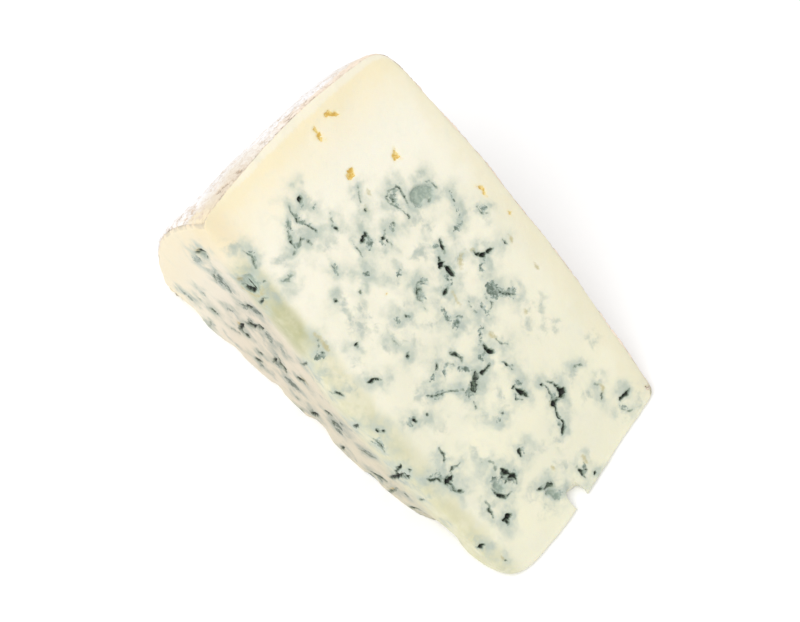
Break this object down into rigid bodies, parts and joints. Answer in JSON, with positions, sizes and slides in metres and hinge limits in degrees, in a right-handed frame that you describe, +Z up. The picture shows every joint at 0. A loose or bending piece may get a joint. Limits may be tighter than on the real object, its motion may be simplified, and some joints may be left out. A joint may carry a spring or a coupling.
{
  "type": "stilton cheese wedge",
  "caption": "Wedge cut from a wheel of blue-veined cheese, with rind on its outer side and one end, lying on a cut face.",
  "frame": {"origin": "middle of the footprint's bounding box, on the surface the wedge lies on", "axes": "+X towards the thin tip edge and -X to the outer rind; +Y to the wheel's rinded flat end; +Z up"},
  "size_m": [0.109, 0.0611, 0.0635],
  "materials": {
    "paste": "smooth waxy cream paste with blue-green veins",
    "rind": "dry rough crust with a powdery bloom"
  },
  "bodies": {
    "root": {"cheese_wedge": "paste"}
  },
  "joints": []
}
